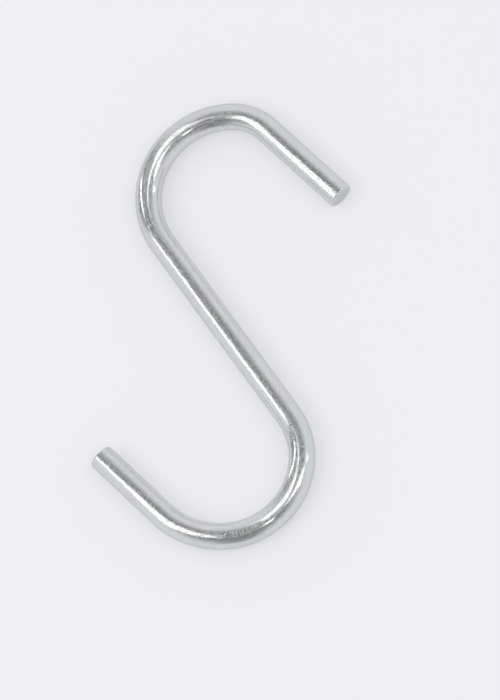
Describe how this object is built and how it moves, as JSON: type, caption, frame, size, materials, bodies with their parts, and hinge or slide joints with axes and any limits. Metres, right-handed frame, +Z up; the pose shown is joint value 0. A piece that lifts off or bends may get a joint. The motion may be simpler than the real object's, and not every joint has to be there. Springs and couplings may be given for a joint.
{
  "type": "s hook",
  "caption": "S hook of round zinc-plated steel wire, bent flat, with two open bends that face opposite ways and straight square-cut tails.",
  "frame": {"origin": "middle of the underside of the hook's box, on the surface that it lies on", "axes": "+Z up, square to the plane of the hook; +Y along the line that it hangs on, from the lower bend's centre to the upper bend's; +X to the side that the upper tail ends on"},
  "size_m": [0.046, 0.0828, 0.0048],
  "materials": {
    "zinc_plated_steel": "bright zinc plating over drawn steel wire, glossy, with fine drawing marks along the wire"
  },
  "bodies": {
    "root": {"s_hook": "zinc_plated_steel"}
  },
  "joints": []
}
